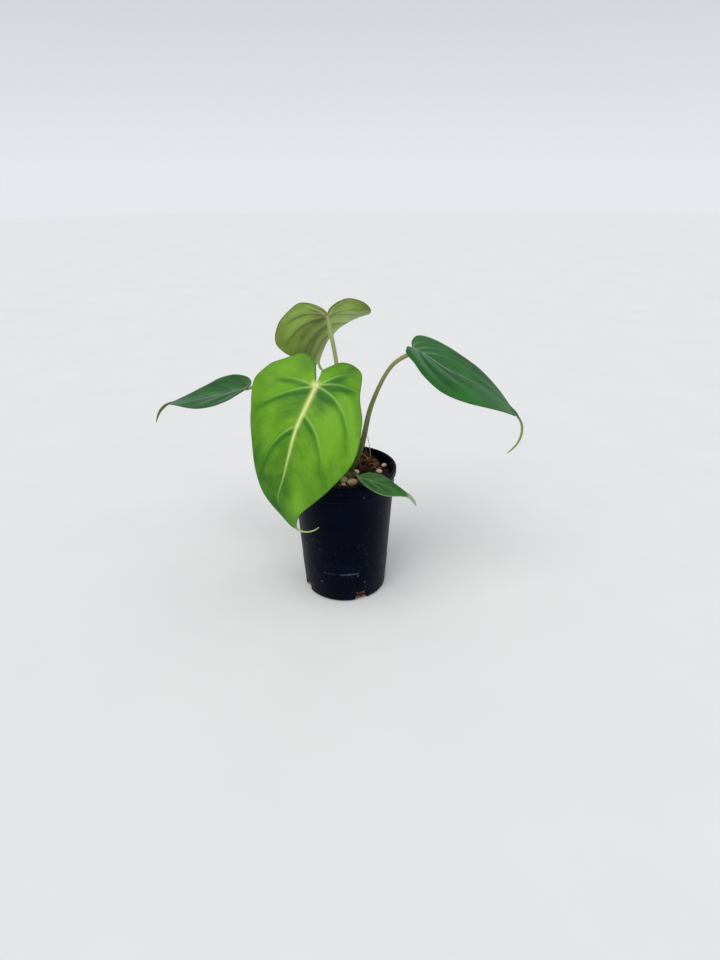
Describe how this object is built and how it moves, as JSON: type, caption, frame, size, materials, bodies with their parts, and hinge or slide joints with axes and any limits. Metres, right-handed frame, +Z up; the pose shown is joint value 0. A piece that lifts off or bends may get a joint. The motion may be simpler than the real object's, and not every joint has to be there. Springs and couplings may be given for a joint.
{
  "type": "potted dean mcdowell philodendron",
  "caption": "Creeping heart-leaved aroid with a broad front leaf, arching petioles and hooked drip tips, growing in bark mix in a tapered black nursery pot",
  "frame": {"origin": "the middle of the pot's underside, on the surface it stands on", "axes": "+Z is up along the pot's axis, -Y is the side of the broad front leaf, +X is the side of the long right leaf"},
  "size_m": [0.3644, 0.1944, 0.2819],
  "materials": {
    "pot_plastic": "satin black with a navy tint, lightly scuffed",
    "bark_mix": "rough bark, fibre and small stones",
    "creeping_stem": "olive brown skin with pale rings",
    "petiole_skin": "satin olive, streaked lengthwise",
    "leaf_lime": "satin lime green with pale veins",
    "leaf_olive": "dull olive underside, green upper side",
    "leaf_green": "satin deep green with silvery vein streaks",
    "leaf_young_green": "satin bluish green with a pale margin"
  },
  "bodies": {
    "root": {"nursery_pot": "pot_plastic", "potting_substrate": "bark_mix", "rhizome": "creeping_stem", "petiole_front": "petiole_skin", "leaf_front": "leaf_lime", "petiole_back": "petiole_skin", "leaf_back": "leaf_olive", "petiole_right": "petiole_skin", "leaf_right": "leaf_green", "petiole_left": "petiole_skin", "leaf_left": "leaf_green", "petiole_young": "petiole_skin", "leaf_young": "leaf_young_green"}
  },
  "joints": []
}
